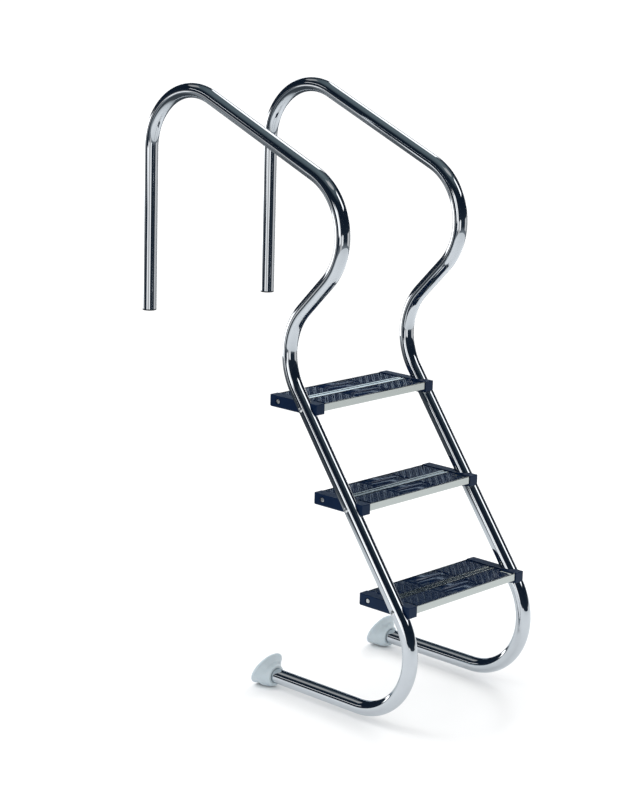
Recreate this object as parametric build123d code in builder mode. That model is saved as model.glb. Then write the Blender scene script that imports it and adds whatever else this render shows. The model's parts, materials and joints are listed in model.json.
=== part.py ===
"""Pool ladder: two bent tube stringers, three bolted treads and two rubber feet.

The frame's origin is the centre of the left stringer's cut end, at the bottom of its deck leg. +X runs to the
right stringer, +Y runs from the pool to the deck and +Z is up. Left and right are those of a climber who
faces the wall. Lengths are millimetres and angles are degrees.
"""

import os
from math import cos, radians, sin

from build123d import *

# Stringers
rail_spacing = 500.0  # between the stringers' centre planes
tube_diameter = 43.0
tube_wall = 1.5
bend_radius = 182.0  # of the tube's centre line, the same at every bend
leg_length = 481.0  # straight deck leg, up to its bend
rail_fall = 23.3  # of the handrail, below the horizontal
rail_length = 448.0
knee_back = 44.0  # of the run below the handrail, from plumb, back to the wall
knee_length = 124.0
incline = 36.0  # of the flight, from plumb, out to the pool
flight_lead = 56.0  # along the flight, from its top bend to the upper bolt
flight_tail = 26.0  # from the lower bolt to the low bend
lower_length = 345.0  # level tube under the treads, into the foot

# Leg plugs
plug_flange = 4.0
plug_inset = 0.4  # of the flange from the tube's outside
plug_stem = 28.0
plug_wall = 2.5
plug_fit = 0.05
plug_rib = 0.5
plug_rib_width = 3.0
plug_rib_count = 3
plug_round = 2.0

# Treads, measured from the bolt, which crosses the tube's centre line
tread_names = ["upper", "middle", "lower"]
tread_pitch = 250.0  # height from one tread to the next
tread_front = 38.5  # from the bolt to the steel front strip's face
tread_rear = 143.0  # from the bolt to the tread's rear edge
bolt_drop = 17.5  # from the end cap's top to the bolt

# End caps
cap_width = 32.0  # from the tube's centre plane to the cap's inner face
cap_height = 35.0
cap_proud = 3.0  # of the cap's front past the steel strip
cap_front_height = 30.0
cap_slope = 30.0  # length of the underside that rises to the front
cap_round = 5.0
cap_edge = 1.5  # rounding of the edges on show
cap_wall = 3.5
tube_fit = 0.1  # between the tube and the cap's saddle
pocket_start = 46.0  # from the bolt back to the first moulding pocket
pocket_round = 1.75
boss_half = 13.0  # of the screw boss between the pockets

# Steel tray
sheet = 1.5
tray_gap = 0.2  # between the tray's end flange and the cap
tray_recess = 1.3  # of the tray's rims below the cap's top
strip_height = 20.6
floor_drop = 6.0  # from the cap's top to the floor under the pads
band_drop = 1.8  # from the cap's top to the central steel band
band_width = 28.0
band_groove_width = 11.0
band_groove_depth = 1.2
bend_inside = 1.2
groove_bend = 0.4
hem_gap = 0.1
hem_ease = 0.01  # keeps a hem's two bends from meeting
window_length = 13.0  # spanner window over each dome nut, along the tread
window_front = 31.0
window_rear = 12.0

# Anti-slip pads
front_pad_depth = 71.5
pad_fit = 0.3
pad_base = 2.6
pad_top_drop = 2.0  # from the cap's top to the blocks' tops
blocks_per_end = 5
block_pitch = 28.0
block_width = 24.0
block_margin = 2.0
plaque_length = 140.0
plaque_groove = 7.0
plaque_slant = 9.0

# Fasteners
bolt_diameter = 8.0
bolt_hole = 8.6
bolt_head_diameter = 14.0
bolt_head_height = 5.0
bolt_socket = 5.0  # across flats
bolt_socket_depth = 3.0
washer_diameter = 16.0
washer_thickness = 1.6
nut_flats = 13.0
nut_height = 7.0
nut_dome = 7.0
screw_diameter = 6.0
screw_hole = 6.4
screw_from_rear = 32.0
screw_drop = 16.0
screw_head_diameter = 13.0
screw_head_height = 3.2
screw_head_round = 1.6
screw_slot_width = 1.4
screw_slot_depth = 1.2
screw_recess_diameter = 18.0
screw_recess_depth = 4.0
screw_nut_flats = 10.0
screw_nut_height = 5.0
screw_tail = 2.0
thread_fit = 0.02

# Rubber feet
foot_grip = 24.0  # length of tube inside the foot
foot_fit = 0.05
foot_neck_wall = 9.0
foot_neck_length = 12.0
foot_flare = 4.5
foot_rim_radius = 56.0
foot_rim_bead = 3.0  # half the rim's thickness
foot_rim_flat = 0.3  # left between the rim's two rounded edges
foot_tilt = 29.0  # of the rim's face, up from facing the wall
foot_reach = 43.0  # from the neck's mouth to the rim's centre
foot_rise = 14.0  # from the tube's centre line up to the rim's centre
foot_web = 5.0
foot_wall = 4.0
foot_end_gap = 0.3  # past the tube's end
foot_lead_in = 1.6

# Derived sizes
tube_radius = tube_diameter / 2
bore_radius = tube_radius - tube_wall
mid_x = rail_spacing / 2
sides = {"left": 0.0, "right": rail_spacing}
tread_step = tread_pitch / cos(radians(incline))  # from bolt to bolt along the flight
flight_length = flight_lead + (len(tread_names) - 1) * tread_step + flight_tail
screw_back = tread_rear - screw_from_rear
tray_end = cap_width + tray_gap
flange_inner = tray_end + sheet
clear = 1.0  # overrun of cuts past a face


def heading(angle):
    """Direction in a stringer's plane: 0 is up, 90 is level towards the pool."""
    return Vector(0, -sin(radians(angle)), cos(radians(angle)))


def across(x, point, angle):
    """Plane square to the tube at a point of its centre line."""
    return Plane((x, point.Y, point.Z), x_dir=(1, 0, 0), z_dir=heading(angle))


def finish(piece, label):
    """Names a piece and writes its file."""
    piece.label = label
    export_step(piece, f"parts/{label}.step")


# Centre line of a stringer, as straight runs joined by tangent bends
run_lengths = [leg_length, rail_length, knee_length, flight_length, lower_length]
turns = [90 + rail_fall, 90 - rail_fall + knee_back, -knee_back - incline, 90 + incline]
runs = []  # (start point, heading angle, length)
bends = []  # (start point, heading angle, turn, bend centre)
here = Vector(0, 0, 0)
facing = 0.0
for length, turn in zip(run_lengths, turns + [0.0]):
    runs.append((here, facing, length))
    here = here + heading(facing) * length
    if turn:
        reach = bend_radius if turn > 0 else -bend_radius
        centre = here + heading(facing + 90) * reach
        bends.append((here, facing, turn, centre))
        facing += turn
        here = centre - heading(facing + 90) * reach
tube_end = here

flight_start, flight_heading, _ = runs[3]
treads = {}
for index, tread in enumerate(tread_names):
    treads[tread] = flight_start + heading(flight_heading) * (flight_lead + index * tread_step)

os.makedirs("parts", exist_ok=True)

# Stringers, each one bent tube with cross holes for the tread bolts
for side, x in sides.items():
    with BuildPart() as stringer:
        for radius, mode in ((tube_radius, Mode.ADD), (bore_radius, Mode.SUBTRACT)):
            for start, angle, length in runs:
                with BuildSketch(across(x, start, angle)):
                    Circle(radius)
                extrude(amount=length, mode=mode)
            for start, angle, turn, centre in bends:
                spin = (1, 0, 0) if turn > 0 else (-1, 0, 0)
                with BuildSketch(across(x, start, angle)):
                    Circle(radius)
                revolve(axis=Axis((x, centre.Y, centre.Z), spin), revolution_arc=abs(turn), mode=mode)
        with BuildSketch(Plane.YZ.offset(x)):
            with Locations(*[(point.Y, point.Z) for point in treads.values()]):
                Circle(bolt_hole / 2)
        extrude(amount=tube_radius + clear, both=True, mode=Mode.SUBTRACT)
    finish(stringer.part, f"stringer_{side}")

# Leg plugs, a flange under the tube's end and a ribbed hollow stem inside it
for side, x in sides.items():
    stem_radius = bore_radius - plug_rib - plug_fit
    rib_pitch = (plug_stem - plug_rib_width) / plug_rib_count
    with BuildPart() as leg_plug:
        with BuildSketch(Plane((x, 0, -plug_flange))):
            Circle(tube_radius - plug_inset)
        extrude(amount=plug_flange)
        fillet(leg_plug.edges().sort_by(Axis.Z)[0], radius=plug_round)
        with BuildSketch(Plane((x, 0, 0))):
            Circle(stem_radius)
        extrude(amount=plug_stem)
        for rib in range(plug_rib_count):
            with BuildSketch(Plane((x, 0, plug_rib_width + rib * rib_pitch))):
                Circle(stem_radius + plug_rib)
            extrude(amount=plug_rib_width)
        with BuildSketch(Plane((x, 0, 0))):
            Circle(stem_radius - plug_wall)
        extrude(amount=plug_stem + clear, mode=Mode.SUBTRACT)
    finish(leg_plug.part, f"leg_plug_{side}")

# Rubber feet, a neck over the tube's end and an oblique bell
mouth_y = tube_end.Y - foot_grip
low_z = tube_end.Z
neck_radius = tube_radius + foot_neck_wall


def upright(x, reach):
    """Plane square to the lower tube, at a distance past the foot's mouth."""
    return Plane((x, mouth_y + reach, low_z), x_dir=(1, 0, 0), z_dir=(0, 1, 0))


for side, x in sides.items():
    rim_normal = Vector(0, cos(radians(foot_tilt)), sin(radians(foot_tilt)))
    rim_centre = Vector(x, mouth_y + foot_reach, low_z + foot_rise)
    rim = Plane(rim_centre, x_dir=(1, 0, 0), z_dir=rim_normal)
    with BuildPart() as foot:
        with BuildSketch(upright(x, 0)):
            Circle(neck_radius)
        with BuildSketch(upright(x, foot_neck_length)):
            Circle(neck_radius + foot_flare)
        with BuildSketch(rim.offset(-foot_rim_bead)):
            Circle(foot_rim_radius - foot_rim_bead)
        loft()
        with BuildSketch(rim.offset(-2 * foot_rim_bead)):
            Circle(foot_rim_radius)
        extrude(amount=2 * foot_rim_bead)
        rim_edges = foot.edges().filter_by(GeomType.CIRCLE).group_by(SortBy.RADIUS)[-1]
        fillet(rim_edges, radius=foot_rim_bead - foot_rim_flat / 2)
        with BuildSketch(upright(x, foot_grip + foot_web)):
            Circle(bore_radius)
        with BuildSketch(rim.offset(clear)):
            Circle(foot_rim_radius - foot_rim_bead - foot_wall)
        loft(mode=Mode.SUBTRACT)
        with BuildSketch(upright(x, -clear)):
            Circle(tube_radius + foot_fit)
        extrude(amount=foot_grip + clear + foot_end_gap, mode=Mode.SUBTRACT)
        mouth_edges = foot.edges().filter_by(GeomType.CIRCLE).group_by(Axis.Y)[0]
        chamfer(mouth_edges.sort_by(SortBy.RADIUS)[0], length=foot_lead_in)
    finish(foot.part, f"foot_{side}")

# End cap of the left side, in the bolt's own frame
with BuildPart() as cap:
    outline = [
        (tread_rear, bolt_drop),
        (tread_rear, bolt_drop - cap_height),
        (cap_slope - tread_front - cap_proud, bolt_drop - cap_height),
        (-tread_front - cap_proud, bolt_drop - cap_front_height),
        (-tread_front - cap_proud, bolt_drop),
    ]
    with BuildSketch(Plane.YZ):
        with BuildLine():
            Polyline(*outline, close=True)
        make_face()
        fillet(vertices().group_by(Axis.Y)[0], radius=cap_round)
    extrude(amount=cap_width)
    rear_corner = cap.edges().filter_by(Axis.Z).sort_by(Axis.Y)[-2:].sort_by(Axis.X)[0]
    fillet(rear_corner, radius=cap_round)
    top_edges = cap.faces().sort_by(Axis.Z)[-1].edges()
    fillet(top_edges.sort_by(Axis.X)[:-1], radius=cap_edge)
    with BuildSketch(Plane((0, 0, 0), x_dir=(1, 0, 0), z_dir=heading(180 - incline))):
        Circle(tube_radius + tube_fit)
    extrude(amount=2 * cap_height, both=True, mode=Mode.SUBTRACT)
    with BuildSketch(Plane.XY.offset(bolt_drop - cap_height)):
        for start, end in (
            (pocket_start, screw_back - boss_half),
            (screw_back + boss_half, tread_rear - cap_wall),
        ):
            with Locations((cap_width / 2, (start + end) / 2)):
                Rectangle(cap_width - 2 * cap_wall, end - start)
        fillet(vertices(), radius=pocket_round)
    extrude(amount=cap_height - cap_wall, mode=Mode.SUBTRACT)
    with BuildSketch(Plane.YZ):
        Circle(bolt_hole / 2)
        with Locations((screw_back, bolt_drop - screw_drop)):
            Circle(screw_hole / 2)
    extrude(amount=cap_width, mode=Mode.SUBTRACT)
    with BuildSketch(Plane.YZ):
        with Locations((screw_back, bolt_drop - screw_drop)):
            Circle(screw_recess_diameter / 2)
    extrude(amount=screw_recess_depth, mode=Mode.SUBTRACT)

# Steel tray: hemmed rims, pad floors and a raised central band, with a flange at each end
rim_top = bolt_drop - tray_recess - sheet / 2
strip_foot = bolt_drop - tray_recess - strip_height
floor_mid = bolt_drop - floor_drop - sheet / 2
band_top = bolt_drop - band_drop - sheet / 2
front_sheet = -tread_front + sheet / 2
front_rise = front_sheet + sheet + hem_gap
rear_sheet = tread_rear - sheet / 2
rear_rise = rear_sheet - sheet - hem_gap
band_front = front_rise + sheet / 2 + pad_fit + front_pad_depth + pad_fit + sheet / 2
band_rear = band_front + band_width - sheet
band_mid = (band_front + band_rear) / 2
groove_half = band_groove_width / 2
hem_radius = (sheet + hem_gap) / 2 - hem_ease
bend_mid = bend_inside + sheet / 2
tray_length = rail_spacing - 2 * tray_end
section = [
    (front_sheet, strip_foot, 0),
    (front_sheet, rim_top, hem_radius),
    (front_rise, rim_top, hem_radius),
    (front_rise, floor_mid, bend_mid),
    (band_front, floor_mid, bend_mid),
    (band_front, band_top, bend_mid),
    (band_mid - groove_half, band_top, groove_bend),
    (band_mid - groove_half + band_groove_depth, band_top - band_groove_depth, groove_bend),
    (band_mid + groove_half - band_groove_depth, band_top - band_groove_depth, groove_bend),
    (band_mid + groove_half, band_top, groove_bend),
    (band_rear, band_top, bend_mid),
    (band_rear, floor_mid, bend_mid),
    (rear_rise, floor_mid, bend_mid),
    (rear_rise, rim_top, hem_radius),
    (rear_sheet, rim_top, hem_radius),
    (rear_sheet, strip_foot, 0),
]
with BuildPart() as tray:
    with BuildSketch(Plane.YZ.offset(tray_end)):
        with BuildLine() as folded:
            FilletPolyline(
                *[(y, z) for y, z, _ in section],
                radius=[radius for _, _, radius in section[1:-1]],
            )
            offset(amount=sheet / 2, side=Side.BOTH, mode=Mode.REPLACE)
        make_face()
    extrude(amount=tray_length)
    with BuildSketch(Plane.YZ.offset(tray_end)):
        flange_front = -tread_front + sheet + pad_fit
        flange_rear = tread_rear - sheet - pad_fit
        with Locations(((flange_front + flange_rear) / 2, (strip_foot + floor_mid) / 2)):
            Rectangle(flange_rear - flange_front, floor_mid - strip_foot)
    extrude(amount=sheet)
    with BuildSketch(Plane.XY.offset(floor_mid - sheet)):
        with Locations((flange_inner, -window_front)):
            Rectangle(window_length, window_front + window_rear, align=(Align.MIN, Align.MIN))
    extrude(amount=floor_drop, mode=Mode.SUBTRACT)
    with BuildSketch(Plane.YZ.offset(tray_end)):
        Circle(bolt_hole / 2)
        with Locations((screw_back, bolt_drop - screw_drop)):
            Circle(screw_hole / 2)
    extrude(amount=sheet, mode=Mode.SUBTRACT)
    split(bisect_by=Plane.YZ.offset(mid_x), keep=Keep.BOTTOM)
    mirror(about=Plane.YZ.offset(mid_x))

# Anti-slip pads, a floor plate with grip blocks at both ends and a plaque of two flats between
floor_top = floor_mid + sheet / 2
base_top = floor_top + pad_base
block_top = bolt_drop - pad_top_drop
pad_spans = {
    "pad_front": (front_rise + sheet / 2 + pad_fit, band_front - sheet / 2 - pad_fit),
    "pad_rear": (band_rear + sheet / 2 + pad_fit, rear_rise - sheet / 2 - pad_fit),
}
pads = {}
for name, (pad_start, pad_end) in pad_spans.items():
    depth = pad_end - pad_start
    pad_mid = (pad_start + pad_end) / 2
    pad_left = tray_end + pad_fit
    with BuildPart() as pad:
        with BuildSketch(Plane.YZ.offset(pad_left)):
            with Locations((pad_mid, (floor_top + base_top) / 2)):
                Rectangle(depth, pad_base)
            chamfer(vertices().group_by(Axis.Y)[0], length=bend_inside)
        extrude(amount=mid_x - pad_left)
        with BuildSketch(Plane.XY.offset(base_top)):
            for block in range(blocks_per_end):
                block_x = pad_left + block_margin + block * block_pitch
                with Locations((block_x, pad_mid)):
                    Rectangle(block_width, depth - 2 * block_margin, align=(Align.MIN, Align.CENTER))
        extrude(amount=block_top - base_top)
        with BuildSketch(Plane.XY.offset(base_top)):
            flat_depth = (depth - plaque_groove) / 2 - block_margin
            for way in (-1, 1):
                near = pad_mid + way * plaque_groove / 2
                far = near + way * flat_depth
                with BuildLine():
                    Polyline(
                        (mid_x - plaque_length / 2 + plaque_slant, near),
                        (mid_x, near),
                        (mid_x, far),
                        (mid_x - plaque_length / 2, far),
                        close=True,
                    )
                make_face()
        extrude(amount=block_top - base_top)
        with BuildSketch(Plane.XY.offset(floor_top)):
            with Locations((pad_left, -window_front)):
                Rectangle(
                    flange_inner + window_length - pad_left,
                    window_front + window_rear,
                    align=(Align.MIN, Align.MIN),
                )
        extrude(amount=floor_drop, mode=Mode.SUBTRACT)
        mirror(about=Plane.YZ.offset(mid_x))
    pads[name] = pad.part

# Tread bolts: a domed socket head on the tube's outside, through tube, cap and tray flange
washer_end = flange_inner + washer_thickness
nut_end = washer_end + nut_height
head_top = -tube_radius - bolt_head_height
head_radius = bolt_head_diameter / 2
socket_radius = bolt_socket / 2
with BuildPart() as bolt:
    with BuildSketch(Plane.YZ.offset(-tube_radius)):
        Circle(bolt_diameter / 2)
    extrude(amount=tube_radius + nut_end)
    with BuildSketch(Plane.XY):
        with BuildLine():
            underside = Line((head_top, 0), (-tube_radius, 0))
            seat = Line(underside @ 1, (-tube_radius, head_radius))
            dome = RadiusArc(seat @ 1, (head_top, socket_radius), head_radius)
            Line(dome @ 1, underside @ 0)
        make_face()
    revolve(axis=Axis.X)
    with BuildSketch(Plane.YZ.offset(head_top)):
        RegularPolygon(radius=socket_radius, side_count=6, major_radius=False)
    extrude(amount=bolt_socket_depth, mode=Mode.SUBTRACT)

with BuildPart() as washer:
    with BuildSketch(Plane.YZ.offset(flange_inner)):
        Circle(washer_diameter / 2)
        Circle(bolt_hole / 2, mode=Mode.SUBTRACT)
    extrude(amount=washer_thickness)

with BuildPart() as dome_nut:
    with BuildSketch(Plane.YZ.offset(washer_end)):
        RegularPolygon(radius=nut_flats / 2, side_count=6, major_radius=False)
    extrude(amount=nut_height)
    with BuildSketch(Plane.XY):
        with BuildLine():
            dome_radius = nut_flats / 2 - thread_fit
            Line((nut_end, dome_radius), (nut_end, 0))
            Line((nut_end, 0), (nut_end + nut_dome, 0))
            EllipticalCenterArc((nut_end, 0), nut_dome, dome_radius, start_angle=0, arc_size=90)
        make_face()
    revolve(axis=Axis.X)
    with BuildSketch(Plane.YZ.offset(washer_end)):
        Circle(bolt_diameter / 2 + thread_fit)
    extrude(amount=nut_height + thread_fit, mode=Mode.SUBTRACT)

# Cap screws: a slotted head in the cap's recess, into a nut behind the tray flange
screw_point = (screw_back, bolt_drop - screw_drop)
screw_nut_end = flange_inner + screw_nut_height
with BuildPart() as cap_screw:
    with BuildSketch(Plane.YZ.offset(screw_recess_depth)):
        with Locations(screw_point):
            Circle(screw_head_diameter / 2)
    extrude(amount=-screw_head_height)
    fillet(cap_screw.edges().sort_by(Axis.X)[0], radius=screw_head_round)
    with BuildSketch(Plane.YZ.offset(screw_recess_depth)):
        with Locations(screw_point):
            Circle(screw_diameter / 2)
    extrude(amount=screw_nut_end + screw_tail - screw_recess_depth)
    with BuildSketch(Plane.YZ.offset(screw_recess_depth - screw_head_height)):
        with Locations(screw_point):
            Rectangle(screw_head_diameter, screw_slot_width)
    extrude(amount=screw_slot_depth, mode=Mode.SUBTRACT)

with BuildPart() as screw_nut:
    with BuildSketch(Plane.YZ.offset(flange_inner)):
        with Locations(screw_point):
            RegularPolygon(radius=screw_nut_flats / 2, side_count=6, major_radius=False)
            Circle(screw_diameter / 2 + thread_fit, mode=Mode.SUBTRACT)
    extrude(amount=screw_nut_height)

# Each tread's own pieces
with BuildPart() as cap_right:
    mirror(cap.part, about=Plane.YZ.offset(mid_x))
tread_pieces = {
    "tray": tray.part,
    "pad_front": pads["pad_front"],
    "pad_rear": pads["pad_rear"],
    "cap_left": cap.part,
    "cap_right": cap_right.part,
}
for tread, point in treads.items():
    for name, piece in tread_pieces.items():
        with BuildPart() as placed:
            with Locations(point):
                add(piece)
        finish(placed.part, f"{tread}_{name}")

# Fasteners, alike at both ends of every tread
fasteners = {
    "tread_bolts": bolt.part,
    "bolt_washers": washer.part,
    "dome_nuts": dome_nut.part,
    "cap_screws": cap_screw.part,
    "cap_screw_nuts": screw_nut.part,
}
for name, piece in fasteners.items():
    with BuildPart() as both_ends:
        add(piece)
        mirror(piece, about=Plane.YZ.offset(mid_x))
    with BuildPart() as fastener_set:
        with Locations(*treads.values()):
            add(both_ends.part)
    finish(fastener_set.part, name)
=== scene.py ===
"""Looks of the pool ladder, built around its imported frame. Lengths are in metres."""

import json
from math import copysign, cos, floor, pi, radians, sin

import bmesh
import bpy
from mathutils import Matrix, Vector


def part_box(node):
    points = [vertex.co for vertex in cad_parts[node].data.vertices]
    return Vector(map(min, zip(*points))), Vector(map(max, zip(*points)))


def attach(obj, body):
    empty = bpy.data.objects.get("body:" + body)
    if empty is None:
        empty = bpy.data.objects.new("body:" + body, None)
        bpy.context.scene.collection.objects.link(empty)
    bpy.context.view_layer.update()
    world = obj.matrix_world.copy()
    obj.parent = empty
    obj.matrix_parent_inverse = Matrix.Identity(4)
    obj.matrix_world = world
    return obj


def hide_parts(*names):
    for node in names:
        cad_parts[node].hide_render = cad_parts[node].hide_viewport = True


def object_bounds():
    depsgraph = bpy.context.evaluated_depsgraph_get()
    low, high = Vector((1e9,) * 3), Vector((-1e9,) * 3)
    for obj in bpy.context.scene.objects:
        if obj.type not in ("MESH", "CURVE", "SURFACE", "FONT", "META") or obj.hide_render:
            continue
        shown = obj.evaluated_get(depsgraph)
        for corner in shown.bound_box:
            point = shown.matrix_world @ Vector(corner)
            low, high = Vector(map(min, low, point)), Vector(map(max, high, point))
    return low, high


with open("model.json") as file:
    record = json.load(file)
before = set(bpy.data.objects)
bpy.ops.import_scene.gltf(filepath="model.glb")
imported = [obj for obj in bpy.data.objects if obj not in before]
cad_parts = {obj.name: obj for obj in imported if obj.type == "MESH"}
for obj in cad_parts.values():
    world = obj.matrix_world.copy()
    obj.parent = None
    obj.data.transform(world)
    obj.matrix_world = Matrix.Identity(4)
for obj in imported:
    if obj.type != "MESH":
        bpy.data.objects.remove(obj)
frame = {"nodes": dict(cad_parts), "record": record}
cad_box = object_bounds()
nodes = frame["nodes"]

MM = 0.001
TREADS = ("upper", "middle", "lower")
SIDES = {"left": 0.0, "right": 0.5}  # the stringers' places along X

# ---------------------------------------------------------------- camera and studio

CAMERA_PLACE = Vector((-4.0552, -4.4885, 1.1243))
CAMERA_AZIMUTH = radians(-46.76)
CAMERA_ELEVATION = radians(10.77)
CAMERA_ROLL = radians(1.51)
CAMERA_LENS = 92.2
CAMERA_SHIFT_Y = -0.1
FLOOR_GAP = 0.0005
FLOOR_RADIUS = 4.2
FLOOR_MIDDLE = (0.25, -0.4)
LIGHT_AIM = (0.25, -0.6, -0.2)
WHITE = 1.12  # strength of the studio's plain light
FLOOR_PALE = (0.93, 0.935, 0.94, 1)
# Shiny pieces see a floor that is dark behind the ladder, which keeps their form readable:
# stops of (place along +Y, from the floor's pool edge at 0 to its deck edge at 1, colour)
FLOOR_REFLECTED = (
    (0.0, (0.62, 0.65, 0.67)),
    (0.47, (0.78, 0.80, 0.82)),
    (0.56, (0.55, 0.58, 0.60)),
    (0.61, (0.05, 0.06, 0.07)),
    (0.74, (0.03, 0.04, 0.05)),
    (0.86, (0.14, 0.15, 0.16)),
    (0.94, (0.30, 0.32, 0.33)),
)


def make_camera():
    back = Vector((
        sin(CAMERA_AZIMUTH) * cos(CAMERA_ELEVATION),
        -cos(CAMERA_AZIMUTH) * cos(CAMERA_ELEVATION),
        sin(CAMERA_ELEVATION),
    ))
    level = Vector((cos(CAMERA_AZIMUTH), sin(CAMERA_AZIMUTH), 0))
    upright = back.cross(level)
    right = level * cos(CAMERA_ROLL) + upright * sin(CAMERA_ROLL)
    up = upright * cos(CAMERA_ROLL) - level * sin(CAMERA_ROLL)
    data = bpy.data.cameras.new("camera")
    data.lens = CAMERA_LENS
    data.shift_y = CAMERA_SHIFT_Y
    camera = bpy.data.objects.new("camera", data)
    turn = Matrix((right, up, back)).transposed().to_4x4()
    camera.matrix_world = Matrix.Translation(CAMERA_PLACE) @ turn
    bpy.context.scene.collection.objects.link(camera)
    bpy.context.scene.camera = camera


def opaque(colour):
    """Four channels, from a grey level or a colour."""
    return (*colour, 1) if hasattr(colour, "__len__") else (colour, colour, colour, 1)


class Shader:
    """A node tree that is written as nested calls, each of which adds a node and gives its output."""

    def __init__(self, tree):
        self.tree = tree
        self.tree.nodes.clear()

    def add(self, kind, inputs=None, output=0, **settings):
        node = self.tree.nodes.new(kind)
        for name, value in settings.items():
            setattr(node, name, value)
        for name, value in (inputs or {}).items():
            self.put(node.inputs[name], value)
        return node.outputs[output]

    def finish(self, surface, kind="ShaderNodeOutputMaterial"):
        node = self.tree.nodes.new(kind)
        self.tree.links.new(surface, node.inputs["Surface"])

    def put(self, socket, value):
        if isinstance(value, bpy.types.NodeSocket):
            self.tree.links.new(value, socket)
        else:
            socket.default_value = value

    def math(self, operation, *values, clamp=False):
        inputs = dict(enumerate(values))
        return self.add("ShaderNodeMath", inputs, operation=operation, use_clamp=clamp)

    def mix(self, share, first, second):
        node = self.tree.nodes.new("ShaderNodeMix")
        node.data_type = "RGBA"
        self.put(node.inputs[0], share)
        self.put(node.inputs[6], first)
        self.put(node.inputs[7], second)
        return node.outputs[2]

    def ramp(self, share, *stops):
        """Colour ramp of (place, grey or colour) stops."""
        node = self.tree.nodes.new("ShaderNodeValToRGB")
        self.put(node.inputs[0], share)
        elements = node.color_ramp.elements
        for index, (place, colour) in enumerate(stops):
            element = elements[index] if index < 2 else elements.new(place)
            element.position = place
            element.color = opaque(colour)
        return node.outputs[0]


# Soft boxes and cards of the studio, as the polished tubes see them:
# azimuth from +Y towards +X, elevation, half width, half height (degrees) and strength or colour
CARDS = (
    (-4, -6, 19, 9, 2.4),  # lit back wall
    (-39, -8, 8, 4, 0.5),
    (-84, 1, 8, 8, 1.8),  # tall card on the left
    (-98, 2, 8, 14, 1.3),
    (-119, -12, 13, 7, 0.6),  # low card by the camera
    (-137, -9, 6, 6, 1.5),
    (148, 41, 13, 12, 1.8),  # soft box behind the camera's right
    (62, 43, 7, 17, 1.8),  # tall soft box on the far right
    (104, -8, 20, 7, 0.45),
    (135, -8, 13, 7, 0.75),
    (61, -9, 6, 7, 2.6),
    (-48, 19, 8, 1.2, 1.8),  # thin strip light
    (-10, 47, 16, 7, 0.42),
    (-45, -14, 4, 3, 1.6),
    (82, 5, 5, 5, 1.0),
    (-170, 68, 45, 7, 0.55),
    (50, 12.9, 18, 1.9, (1.05, 1.25, 1.45)),  # bluish band that the upper tread reflects
)
CARD_EDGE = 1.6  # degrees over which a card's edge fades


def make_world():
    world = bpy.data.worlds.new("studio")
    bpy.context.scene.world = world
    world.use_nodes = True
    sky = Shader(world.node_tree)
    axes = sky.tree.nodes.new("ShaderNodeSeparateXYZ")
    sky.put(axes.inputs[0], sky.add("ShaderNodeTexCoord", output="Generated"))
    azimuth = sky.math("DEGREES", sky.math("ARCTAN2", axes.outputs[0], axes.outputs[1]))
    elevation = sky.math("DEGREES", sky.math("ARCSINE", axes.outputs[2]))
    light = sky.ramp(
        sky.math("MULTIPLY_ADD", elevation, 1 / 180, 0.5),
        (0.0, (0.55, 0.60, 0.64)),
        (0.34, (0.60, 0.66, 0.70)),
        (0.39, (0.26, 0.29, 0.32)),
        (0.44, (0.02, 0.03, 0.045)),
        (0.60, (0.008, 0.015, 0.028)),
        (0.72, (0.008, 0.016, 0.028)),
        (0.80, (0.09, 0.12, 0.14)),
        (1.0, (0.17, 0.22, 0.24)),
    )
    for card_azimuth, card_elevation, half_width, half_height, strength in CARDS:
        turned = sky.math("WRAP", sky.math("SUBTRACT", azimuth, card_azimuth), 180.0, -180.0)
        side = sky.math("SUBTRACT", half_width, sky.math("ABSOLUTE", turned))
        rise = sky.math("ABSOLUTE", sky.math("SUBTRACT", elevation, card_elevation))
        top = sky.math("SUBTRACT", half_height, rise)
        inside = sky.math("MULTIPLY", sky.math("MINIMUM", side, top), 1 / CARD_EDGE)
        share = sky.math("ADD", inside, 0.5, clamp=True)
        light = sky.mix(share, light, opaque(strength))
    path = sky.tree.nodes.new("ShaderNodeLightPath")
    colour = sky.mix(path.outputs["Is Glossy Ray"], opaque(WHITE), light)
    background = sky.add("ShaderNodeBackground", {"Color": colour, "Strength": 1.0})
    sky.finish(background, "ShaderNodeOutputWorld")


def make_floor(height):
    ring = bmesh.new()
    bmesh.ops.create_circle(ring, cap_ends=True, segments=128, radius=FLOOR_RADIUS)
    mesh = bpy.data.meshes.new("floor")
    ring.to_mesh(mesh)
    ring.free()
    ground = bpy.data.objects.new("floor", mesh)
    ground.location = (*FLOOR_MIDDLE, height)
    bpy.context.scene.collection.objects.link(ground)
    material = bpy.data.materials.new("pale_floor")
    material.use_nodes = True
    paint = Shader(material.node_tree)
    path = paint.tree.nodes.new("ShaderNodeLightPath")
    place = paint.tree.nodes.new("ShaderNodeSeparateXYZ")
    paint.put(place.inputs[0], paint.add("ShaderNodeTexCoord", output="Object"))
    deep = paint.math("MULTIPLY_ADD", place.outputs[1], 0.5 / FLOOR_RADIUS, 0.5)
    reflected = paint.ramp(deep, *FLOOR_REFLECTED)
    surface = paint.add("ShaderNodeBsdfPrincipled", {
        "Base Color": paint.mix(path.outputs["Is Glossy Ray"], FLOOR_PALE, reflected),
        "Roughness": 0.9,
        "Specular IOR Level": 0.1,
    })
    paint.finish(surface)
    mesh.materials.append(material)


def make_softbox(name, place, aim, size, power):
    data = bpy.data.lights.new(name, "AREA")
    data.shape = "RECTANGLE"
    data.size, data.size_y = size
    data.energy = power
    light = bpy.data.objects.new(name, data)
    light.location = place
    light.rotation_euler = (Vector(aim) - Vector(place)).to_track_quat("-Z", "Y").to_euler()
    light.visible_glossy = False  # the polished steel reflects the cards alone
    bpy.context.scene.collection.objects.link(light)


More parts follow.
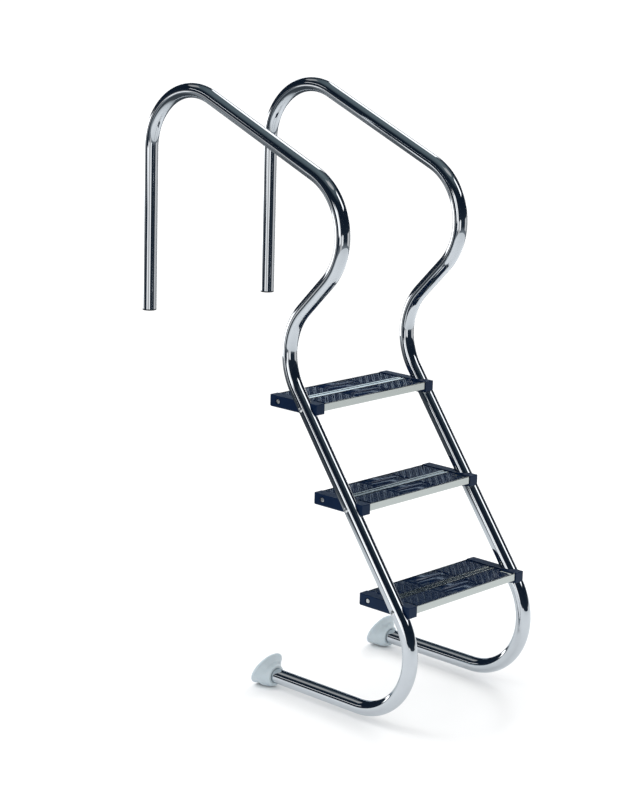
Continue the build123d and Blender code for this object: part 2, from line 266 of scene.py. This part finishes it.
make_camera()
make_world()
make_floor(cad_box[0].z - FLOOR_GAP)
make_softbox("key_light", (-2.2, 1.6, 3.4), LIGHT_AIM, (2.4, 2.4), 45)
make_softbox("rim_light", (3.2, 0.4, 1.6), LIGHT_AIM, (0.6, 1.8), 25)
bpy.context.scene.view_settings.view_transform = "Standard"

# ---------------------------------------------------------------- materials


def new_material(name):
    material = bpy.data.materials.new(name)
    material.use_nodes = True
    return material, Shader(material.node_tree)


def place_scaled(paint, scale):
    """Object coordinates, scaled along each axis."""
    return paint.add("ShaderNodeMapping", {
        "Vector": paint.add("ShaderNodeTexCoord", output="Object"),
        "Scale": scale,
    })


def noise(paint, scale, detail=3.0, coordinates=None):
    where = coordinates or paint.add("ShaderNodeTexCoord", output="Object")
    return paint.add("ShaderNodeTexNoise", {"Vector": where, "Scale": scale, "Detail": detail})


def bump(paint, height, strength, distance, below=None):
    inputs = {"Height": height, "Strength": strength, "Distance": distance}
    if below is not None:
        inputs["Normal"] = below
    return paint.add("ShaderNodeBump", inputs)


def polished_steel():
    """Mirror-polished tube: faint drawing ripples, fine polishing haze and a few dull water marks."""
    material, paint = new_material("polished_steel")
    haze = noise(paint, 260.0, 4.0)
    marks = noise(paint, 38.0, 5.0)
    ripple = bump(paint, noise(paint, 9.0, 1.0), 0.35, 0.0004)
    fine = bump(paint, haze, 0.04, 0.0001, ripple)
    dull = paint.math("MULTIPLY", paint.ramp(marks, (0.52, 0.0), (0.75, 1.0)), 0.04)
    roughness = paint.math("ADD", paint.math("MULTIPLY_ADD", haze, 0.03, 0.02), dull)
    surface = paint.add("ShaderNodeBsdfPrincipled", {
        "Base Color": paint.mix(marks, (0.60, 0.63, 0.66, 1), (0.66, 0.69, 0.72, 1)),
        "Metallic": 1.0,
        "Roughness": roughness,
        "Normal": fine,
    })
    paint.finish(surface)
    return material


def satin_steel():
    """Polished sheet with a faint grain along the tread."""
    material, paint = new_material("tray_steel")
    grain = noise(paint, 1.0, 6.0, place_scaled(paint, (14.0, 2600.0, 2600.0)))
    cloud = noise(paint, 24.0, 3.0)
    haze = paint.math("MULTIPLY_ADD", grain, 0.06, 0.05)
    surface = paint.add("ShaderNodeBsdfPrincipled", {
        "Base Color": paint.mix(grain, (0.52, 0.55, 0.53, 1), (0.62, 0.65, 0.62, 1)),
        "Metallic": 1.0,
        "Roughness": paint.math("ADD", haze, paint.math("MULTIPLY", cloud, 0.06)),
        "Normal": bump(paint, grain, 0.02, 0.0001),
    })
    paint.finish(surface)
    return material


def bright_steel():
    """Turned and stamped fasteners."""
    material, paint = new_material("fastener_steel")
    turned = noise(paint, 900.0, 3.0)
    surface = paint.add("ShaderNodeBsdfPrincipled", {
        "Base Color": paint.mix(turned, (0.66, 0.68, 0.69, 1), (0.80, 0.81, 0.82, 1)),
        "Metallic": 1.0,
        "Roughness": paint.math("MULTIPLY_ADD", turned, 0.2, 0.16),
        "Normal": bump(paint, turned, 0.15, 0.0001),
    })
    paint.finish(surface)
    return material


def moulded_plastic(name, colours, roughness, spread, grain_scale, grain_depth, specular=0.22):
    """Moulded plastic: fine leathery grain, slow colour drift, and pale scuffs on faces that look up."""
    dark, light = colours
    material, paint = new_material(name)
    grain = noise(paint, grain_scale, 4.0)
    drift = noise(paint, 16.0, 3.0)
    rubbed = noise(paint, 1.0, 6.0, place_scaled(paint, (70.0, 420.0, 120.0)))
    scuffs = paint.ramp(rubbed, (0.60, 0.0), (0.72, 1.0))
    upward = paint.tree.nodes.new("ShaderNodeSeparateXYZ")
    paint.put(upward.inputs[0], paint.add("ShaderNodeNewGeometry", output="True Normal"))
    facing_up = paint.math("MULTIPLY", upward.outputs[2], 0.25, clamp=True)
    worn = paint.math("MULTIPLY", scuffs, facing_up, clamp=True)
    base = paint.mix(drift, (*dark, 1), (*light, 1))
    pale = tuple(0.8 * c + 0.02 for c in light)
    surface = paint.add("ShaderNodeBsdfPrincipled", {
        "Base Color": paint.mix(worn, base, (*pale, 1)),
        "Roughness": paint.math("MULTIPLY_ADD", grain, spread, roughness),
        "Specular IOR Level": specular,
        "Specular Tint": (0.55, 0.78, 1.0, 1),
        "Normal": bump(paint, grain, 0.35, grain_depth),
    })
    paint.finish(surface)
    return material


def pale_rubber():
    """Translucent rubber, cloudy inside, with a soft dusty sheen."""
    material, paint = new_material("foot_rubber")
    cloud = noise(paint, 30.0, 4.0)
    dust = noise(paint, 420.0, 4.0)
    surface = paint.add("ShaderNodeBsdfPrincipled", {
        "Base Color": paint.mix(cloud, (0.50, 0.58, 0.62, 1), (0.62, 0.69, 0.73, 1)),
        "Roughness": paint.math("MULTIPLY_ADD", dust, 0.22, 0.34),
        "Subsurface Weight": 0.55,
        "Subsurface Radius": (0.9, 1.0, 1.1),
        "Subsurface Scale": 0.006,
        "Transmission Weight": 0.12,
        "IOR": 1.42,
        "Normal": bump(paint, dust, 0.2, 0.0002),
    })
    paint.finish(surface)
    return material


NAVY = ((0.0010, 0.0062, 0.024), (0.0022, 0.0120, 0.042))
BLACK = ((0.01, 0.013, 0.015), (0.02, 0.024, 0.027))
MATERIALS = {
    "polished_steel": polished_steel(),
    "tray_steel": satin_steel(),
    "fastener_steel": bright_steel(),
    "cap_plastic": moulded_plastic("cap_plastic", NAVY, 0.24, 0.14, 900.0, 0.0001),
    "pad_plastic": moulded_plastic("pad_plastic", NAVY, 0.13, 0.10, 1500.0, 0.00006, 0.5),
    "plug_plastic": moulded_plastic("plug_plastic", BLACK, 0.4, 0.16, 900.0, 0.0001),
    "foot_rubber": pale_rubber(),
}
PLAQUE_GLOSS = moulded_plastic("pad_plaque_gloss", NAVY, 0.07, 0.05, 900.0, 0.00003, 0.5)
SLOTS = {subpart["node"]: subpart["material_slot"] for subpart in frame["record"]["subparts"]}


def dress(piece, slot_name):
    """Gives a piece its material, in every slot of its mesh."""
    piece.data.materials.clear()
    piece.data.materials.append(MATERIALS[slot_name])


for node_name, node in nodes.items():
    dress(node, SLOTS[node_name])

# ---------------------------------------------------------------- mesh helpers

SHARP = radians(35)  # edges that turn more than this stay crisp
EASE = 0.3  # of an eased edge's width, where its middle ring stands


def body_of_node(name):
    for body, members in frame["record"]["behaviour"]["bodies"].items():
        if name in members:
            return body
    raise ValueError(name)


def publish(shell, name, replaced):
    """Turns a closed bmesh into the shown form of a CAD node."""
    bmesh.ops.recalc_face_normals(shell, faces=shell.faces)
    for face in shell.faces:
        face.smooth = True
    for edge in shell.edges:
        edge.smooth = edge.calc_face_angle(pi) < SHARP
    mesh = bpy.data.meshes.new(name)
    shell.to_mesh(mesh)
    shell.free()
    piece = bpy.data.objects.new(name, mesh)
    bpy.context.scene.collection.objects.link(piece)
    dress(piece, SLOTS[replaced])
    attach(piece, body_of_node(replaced))
    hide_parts(replaced)
    return piece


def stack(shell, rings, caps=True):
    """Joins rings of equally many points. Caps close both ends; without them the last meets the first."""
    rows = [[shell.verts.new(point) for point in ring] for ring in rings]
    pairs = list(zip(rows, rows[1:]))
    made = []
    if caps:
        made.append(shell.faces.new(rows[0][::-1]))
        made.append(shell.faces.new(rows[-1]))
    else:
        pairs.append((rows[-1], rows[0]))
    for below, above in pairs:
        for index in range(len(below)):
            after = (index + 1) % len(below)
            made.append(shell.faces.new((below[index], below[after], above[after], above[index])))
    return made


def raised(outline, height):
    return [(x, y, height) for x, y in outline]


def inset(outline, distance):
    """Moves every side of a counter-clockwise outline inwards."""
    moved = []
    count = len(outline)
    for index in range(count):
        here = Vector(outline[index])
        before = (here - Vector(outline[index - 1])).normalized()
        after = (Vector(outline[(index + 1) % count]) - here).normalized()
        inwards = Vector((-before.y - after.y, before.x + after.x))
        scale = distance / (1 + before.dot(after))
        moved.append(tuple(here + inwards * scale))
    return moved


def quadratic(start, pull, end, share):
    """Point of the curve from start to end that leaves and arrives in line with a third point."""
    return start * (1 - share) ** 2 + pull * 2 * share * (1 - share) + end * share ** 2


def rounded(outline, radius, steps=4):
    """Rounds every corner of an outline with a quadratic curve."""
    points = []
    count = len(outline)
    for index in range(count):
        here = Vector(outline[index])
        start = here + (Vector(outline[index - 1]) - here).normalized() * radius
        end = here + (Vector(outline[(index + 1) % count]) - here).normalized() * radius
        for step in range(steps + 1):
            share = step / steps
            points.append(tuple(quadratic(start, here, end, share)))
    return points


def rectangle(x0, y0, x1, y1):
    return [(x0, y0), (x1, y0), (x1, y1), (x0, y1)]


def slab(shell, outline, low, high, edge):
    """A closed upright slab with eased top edges: outline is (x, y) points, counter-clockwise."""
    soft = inset(outline, edge * EASE)
    inner = inset(outline, edge)
    rings = [(outline, low), (outline, high - edge), (soft, high - edge * EASE), (inner, high)]
    return stack(shell, [raised(points, height) for points, height in rings])


# ---------------------------------------------------------------- stringers

TUBE_RADIUS = 21.5 * MM
BORE_RADIUS = 20.0 * MM
TUBE_EDGE = 0.4 * MM  # broken edge of the cut ends
TUBE_SIDES = 72
BEND_RADIUS = 182 * MM
BEND_STEP = 2.0  # degrees from ring to ring in a bend
RUN_STEP = 120 * MM
INCLINE = 36.0  # degrees of the flight, from plumb
TREAD_STEP = 250 * MM / cos(radians(INCLINE))  # from bolt to bolt
FLIGHT_LEAD = 56 * MM
FLIGHT_TAIL = 26 * MM
# straight runs from the deck leg's cut end to the foot: leg, handrail, knee, flight and level tube
RUNS = (481 * MM, 448 * MM, 124 * MM, FLIGHT_LEAD + 2 * TREAD_STEP + FLIGHT_TAIL, 345 * MM)
TURNS = (113.3, 110.7, -80.0, 126.0)  # degrees, of the bends between the runs


def heading(angle):
    """Direction in a stringer's plane: 0 is up, 90 is level towards the pool."""
    return Vector((0, -sin(radians(angle)), cos(radians(angle))))


def centre_line():
    """Points of the tube's centre line with its heading at each."""
    here, facing = Vector((0, 0, 0)), 0.0
    stations = [(here, facing)]
    for length, turn in zip(RUNS, (*TURNS, 0.0)):
        parts = max(1, round(length / RUN_STEP))
        for part in range(1, parts + 1):
            stations.append((here + heading(facing) * (length * part / parts), facing))
        here = here + heading(facing) * length
        reach = copysign(BEND_RADIUS, turn)
        middle = here + heading(facing + 90) * reach
        steps = round(abs(turn) / BEND_STEP)
        for step in range(1, steps + 1):
            angle = facing + turn * step / steps
            stations.append((middle - heading(angle + 90) * reach, angle))
        here, facing = stations[-1]
    return stations


def circle(centre, angle, radius):
    """Ring of points square to a heading."""
    side = heading(angle + 90)
    turns = [2 * pi * index / TUBE_SIDES for index in range(TUBE_SIDES)]
    return [centre + Vector((cos(turn) * radius, 0, 0)) + side * (sin(turn) * radius) for turn in turns]


def make_stringer(side, x):
    stations = [(point + Vector((x, 0, 0)), angle) for point, angle in centre_line()]
    (start, first), (end, last) = stations[0], stations[-1]
    outside = [
        (start + heading(first) * TUBE_EDGE, first),
        *stations[1:-1],
        (end - heading(last) * TUBE_EDGE, last),
    ]
    rings = [circle(start, first, TUBE_RADIUS - TUBE_EDGE)]
    rings += [circle(point, angle, TUBE_RADIUS) for point, angle in outside]
    rings.append(circle(end, last, TUBE_RADIUS - TUBE_EDGE))
    rings += [circle(point, angle, BORE_RADIUS) for point, angle in reversed(stations)]
    shell = bmesh.new()
    stack(shell, rings, caps=False)
    publish(shell, f"stringer_{side}_tube", f"stringer_{side}")


for side, x in SIDES.items():
    make_stringer(side, x)

# ---------------------------------------------------------------- anti-slip pads

BLOCK_PITCH = 28 * MM
BLOCK_WIDTH = 24.5 * MM
BLOCK_MARGIN = 2 * MM
BLOCK_SLANT = 1.0  # of the joints between blocks: shift along the tread for each step back
BLOCK_BORDER = 1.5 * MM
BLOCK_EDGE = 0.45 * MM
BLOCK_CORNER = 3.2 * MM
SHORTEST_SIDE = 6.6 * MM  # of a block that the pad's or plaque's end cuts short
SLIMMEST_BLOCK = 2.2 * MM  # area over outline's length
FIELD_DEPTH = 0.55 * MM
FIELD_DRAFT = FIELD_DEPTH / 3
FIELD_CORNER = 0.8 * MM
SHORTEST_FIELD = 2 * MM  # side of a field, under which the block stays plain
RIB_PITCH = 4.4 * MM
RIB_TOP = 1.4 * MM  # half a rib's width
RIB_EDGE = 0.8 * FIELD_DEPTH
PAD_BASE = 2.6 * MM
PAD_SINK = 0.4 * MM  # of the base's top below the CAD pad's, so that the joints between blocks read
BASE_EDGE = 0.4 * MM
END_CORNER = 1.0 * MM  # of the plain strip behind a window
SUNK = 0.25 * MM  # of raised pieces into what they stand on
PLAQUE_LENGTH = 140 * MM
PLAQUE_GROOVE = 7 * MM
PLAQUE_SLANT = 9 * MM
PLAQUE_EDGE = 1.3 * MM
PLAQUE_CORNER = 2.5 * MM
PLAQUE_MARGIN = 3 * MM
WINDOW_FRONT = 31 * MM
WINDOW_REAR = 12 * MM
WINDOW_REACH = 14.2 * MM  # of the window, in from the pad's end
CAP_REAR_TO_BOLT = 143 * MM


def clipped(outline, limit, way):
    """The part of a convex outline past the line x = limit (way 1) or short of it (way -1)."""
    kept = []
    for index, here in enumerate(outline):
        before = outline[index - 1]
        is_in, was_in = (way * (point[0] - limit) >= 0 for point in (here, before))
        if is_in != was_in:
            share = (limit - before[0]) / (here[0] - before[0])
            kept.append((limit, before[1] + (here[1] - before[1]) * share))
        if is_in:
            kept.append(here)
    return kept


def sides_of(outline):
    return [Vector(here) - Vector(outline[index - 1]) for index, here in enumerate(outline)]


def slimness(outline):
    """Area over the outline's length."""
    before = [outline[-1], *outline[:-1]]
    area = sum(old_x * y - x * old_y for (old_x, old_y), (x, y) in zip(before, outline)) / 2
    return area / sum(side.length for side in sides_of(outline))


def slanted_blocks(x0, y0, x1, y1, origin):
    """Outlines of the slanted blocks that fill a rectangle, counted along the tread from an origin."""
    lean = BLOCK_SLANT * (y1 - y0)
    first = floor((x0 - origin - lean) / BLOCK_PITCH)
    last = floor((x1 - origin) / BLOCK_PITCH)
    for index in range(first, last + 1):
        start = origin + index * BLOCK_PITCH
        end = start + BLOCK_WIDTH
        whole = [(start, y0), (end, y0), (end + lean, y1), (start + lean, y1)]
        cut = clipped(clipped(whole, x0, 1), x1, -1)
        outline = [point for point, side in zip(cut, sides_of(cut)) if side.length > SHORTEST_SIDE]
        if len(outline) > 2 and slimness(outline) > SLIMMEST_BLOCK:
            yield outline


def span_at(outline, y):
    """Least and most x of a convex outline at a depth."""
    places = []
    for index, (x, here) in enumerate(outline):
        old_x, before = outline[index - 1]
        if (here - y) * (before - y) <= 0 and here != before:
            places.append(old_x + (x - old_x) * (y - before) / (here - before))
    return min(places), max(places)


def grip_block(shell, outline, low, high):
    """A block with a border round a sunken field of ribs along the tread, or plain where it is small."""
    rim = rounded(outline, BLOCK_CORNER)
    field = inset(outline, BLOCK_BORDER + BLOCK_EDGE)
    pairs = zip(sides_of(field), sides_of(outline))
    if any(inner.dot(outer) <= 0 or inner.length <= SHORTEST_FIELD for inner, outer in pairs):
        slab(shell, rim, low, high, BLOCK_EDGE)
        return
    mouth = rounded(field, FIELD_CORNER)
    rings = [
        (rim, low),
        (rim, high - BLOCK_EDGE),
        (inset(rim, BLOCK_EDGE * EASE), high - BLOCK_EDGE * EASE),
        (inset(rim, BLOCK_EDGE), high),
        (mouth, high),
        (inset(mouth, FIELD_DRAFT), high - FIELD_DEPTH),
    ]
    stack(shell, [raised(points, height) for points, height in rings])
    start = min(y for x, y in field) + FIELD_DEPTH
    end = max(y for x, y in field) - FIELD_DEPTH
    ribs = int((end - start) / RIB_PITCH)
    spare = (end - start - ribs * RIB_PITCH) / 2
    for rib in range(ribs):
        middle = start + spare + (rib + 0.5) * RIB_PITCH
        spans = [span_at(field, middle + way * RIB_TOP) for way in (-1, 1)]
        x0 = max(span[0] for span in spans) + FIELD_DEPTH
        x1 = min(span[1] for span in spans) - FIELD_DEPTH
        if x1 - x0 > 2 * RIB_TOP:
            strip = rectangle(x0, middle - RIB_TOP, x1, middle + RIB_TOP)
            slab(shell, strip, high - FIELD_DEPTH - SUNK, high, RIB_EDGE)


def windowed(low, high, front, rear):
    """A pad's outline with a notch at each end, from front to rear, that the bolt's place shows through."""
    left, right = low.x + WINDOW_REACH, high.x - WINDOW_REACH
    return [
        (low.x, low.y), (high.x, low.y), (high.x, front), (right, front),
        (right, rear), (high.x, rear), (high.x, high.y), (low.x, high.y),
        (low.x, rear), (left, rear), (left, front), (low.x, front),
    ]


def make_pad(node_name, bolt_y):
    low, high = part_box(node_name)
    top_of_base = low.z + PAD_BASE - PAD_SINK
    middle_x, middle_y = (low.x + high.x) / 2, (low.y + high.y) / 2
    shell = bmesh.new()
    has_windows = low.y < bolt_y
    if has_windows:
        front, rear = max(low.y, bolt_y - WINDOW_FRONT), bolt_y + WINDOW_REAR
        outline = windowed(low, high, front, rear)
    else:
        outline = rectangle(low.x, low.y, high.x, high.y)
    slab(shell, outline, low.z, top_of_base, BASE_EDGE)
    y0, y1 = low.y + BLOCK_MARGIN, high.y - BLOCK_MARGIN
    reach = BLOCK_MARGIN
    if has_windows:
        reach = WINDOW_REACH
        ends = ((low.x + BLOCK_MARGIN, low.x + reach), (high.x - reach, high.x - BLOCK_MARGIN))
        for x0, x1 in ends:
            corner = rounded(rectangle(x0, rear + SUNK, x1, y1), END_CORNER)
            slab(shell, corner, top_of_base - SUNK, high.z, BLOCK_EDGE)
    inner = PLAQUE_LENGTH / 2 + PLAQUE_MARGIN
    for x0, x1 in ((low.x + reach, middle_x - inner), (middle_x + inner, high.x - reach)):
        for outline in slanted_blocks(x0, y0, x1, y1, middle_x):
            grip_block(shell, outline, top_of_base - SUNK, high.z)
    plaques = []
    half = PLAQUE_LENGTH / 2
    for way in (-1, 1):
        near, far = middle_y + way * PLAQUE_GROOVE / 2, (y1 if way > 0 else y0)
        flat = [
            (middle_x - half + PLAQUE_SLANT, near), (middle_x - half, far),
            (middle_x + half, far), (middle_x + half - PLAQUE_SLANT, near),
        ]
        if way > 0:
            flat = flat[::-1]
        plaques += slab(shell, rounded(flat, PLAQUE_CORNER, 6), top_of_base - SUNK, high.z, PLAQUE_EDGE)
    for face in plaques:
        face.material_index = 1
    piece = publish(shell, f"{node_name}_moulding", node_name)
    piece.data.materials.append(PLAQUE_GLOSS)


for tread in TREADS:
    bolt_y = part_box(f"{tread}_cap_left")[1].y - CAP_REAR_TO_BOLT
    for pad in ("pad_front", "pad_rear"):
        make_pad(f"{tread}_{pad}", bolt_y)

# ---------------------------------------------------------------- rubber feet

FOOT_GRIP = 24 * MM  # length of tube inside the foot
FOOT_FIT = 0.05 * MM
FOOT_END_GAP = 0.3 * MM
FOOT_LEAD_IN = 1.6 * MM
FOOT_WEB = 5 * MM
NECK_RADIUS = 30.5 * MM
NECK_ROUND = 3.0 * MM
NECK_LENGTH = 12 * MM
SHOULDER_RADIUS = 35 * MM
RIM_RADIUS = 56 * MM
RIM_BEAD = 3 * MM  # half the rim's thickness
RIM_ROLL = 80.0  # degrees that the rim rolls over, each side of its outermost line
RIM_TILT = 29.0  # degrees, of the rim's face up from facing the wall
RIM_REACH = 43 * MM  # from the mouth to the rim's centre
RIM_RISE = 14 * MM
BELL_WALL = 4 * MM
BELL_FLARE = 0.45  # share of the bell's widening that comes late, towards the rim
BELL_PULL = 0.35  # of the bell's length, how far it runs straight on from the neck
BELL_STEPS = 22
LIP_STEPS = 5
RIM_STEPS = 8
HOLLOW_STEPS = 8
FOLD_DEPTH = 0.9 * MM
FOLD_COUNT = 7
FOLD_TWIST = 5.0  # radians of a fold's phase, from the neck to the rim
FOOT_SIDES = 96


def foot_ring(centre, tilt, radius, fold=0.0, phase=0.0):
    """Ring whose face looks at the wall, tilted up by an angle, with shallow folds round it."""
    up = Vector((0, -sin(radians(tilt)), cos(radians(tilt))))
    points = []
    for index in range(FOOT_SIDES):
        turn = 2 * pi * index / FOOT_SIDES
        reach = radius + fold * cos(FOLD_COUNT * turn + phase)
        points.append(centre + Vector((cos(turn) * reach, 0, 0)) + up * (sin(turn) * reach))
    return points


def make_foot(side, x):
    line_y = centre_line()[-1][0].y - FOOT_GRIP
    line_z = centre_line()[-1][0].z

    def along(distance):
        return Vector((x, line_y + distance, line_z))

    look = Vector((0, cos(radians(RIM_TILT)), sin(radians(RIM_TILT))))
    rim = along(RIM_REACH) + Vector((0, 0, RIM_RISE))
    bore = TUBE_RADIUS + FOOT_FIT
    rings = [foot_ring(along(FOOT_GRIP + FOOT_END_GAP), 0, bore)]
    rings.append(foot_ring(along(FOOT_LEAD_IN), 0, bore))
    rings.append(foot_ring(along(0), 0, bore + FOOT_LEAD_IN))
    for step in range(LIP_STEPS + 1):  # rounded lip of the mouth
        turn = radians(90 * step / LIP_STEPS)
        lip = along(NECK_ROUND * (1 - cos(turn)))
        rings.append(foot_ring(lip, 0, NECK_RADIUS - NECK_ROUND * (1 - sin(turn))))
    neck_end = along(NECK_LENGTH)
    bell_end = rim - look * (2 * RIM_BEAD)
    knee = neck_end + Vector((0, BELL_PULL * (bell_end - neck_end).length, 0))
    for step in range(BELL_STEPS + 1):  # bell, a curved loft from the neck to the rim
        share = step / BELL_STEPS
        middle = quadratic(neck_end, knee, bell_end, share)
        spread = (1 - BELL_FLARE) * share + BELL_FLARE * share ** 3
        radius = SHOULDER_RADIUS + (RIM_RADIUS - RIM_BEAD - SHOULDER_RADIUS) * spread
        fold = FOLD_DEPTH * sin(pi * share) ** 2
        rings.append(foot_ring(middle, RIM_TILT * share, radius, fold, FOLD_TWIST * share))
    for step in range(RIM_STEPS + 1):  # rolled rim
        turn = radians(RIM_ROLL * (2 * step / RIM_STEPS - 1))
        middle = rim + look * (RIM_BEAD * sin(turn) - RIM_BEAD)
        rings.append(foot_ring(middle, RIM_TILT, RIM_RADIUS - RIM_BEAD * (1 - cos(turn))))
    inner = RIM_RADIUS - RIM_BEAD - BELL_WALL
    web = along(FOOT_GRIP + FOOT_WEB)
    for step in range(HOLLOW_STEPS + 1):  # hollow of the bell
        share = step / HOLLOW_STEPS
        middle = rim * (1 - share) + web * share
        radius = inner + (BORE_RADIUS - inner) * share
        rings.append(foot_ring(middle, RIM_TILT * (1 - share), radius))
    shell = bmesh.new()
    stack(shell, rings)
    publish(shell, f"foot_{side}_bell", f"foot_{side}")


for side, x in SIDES.items():
    make_foot(side, x)
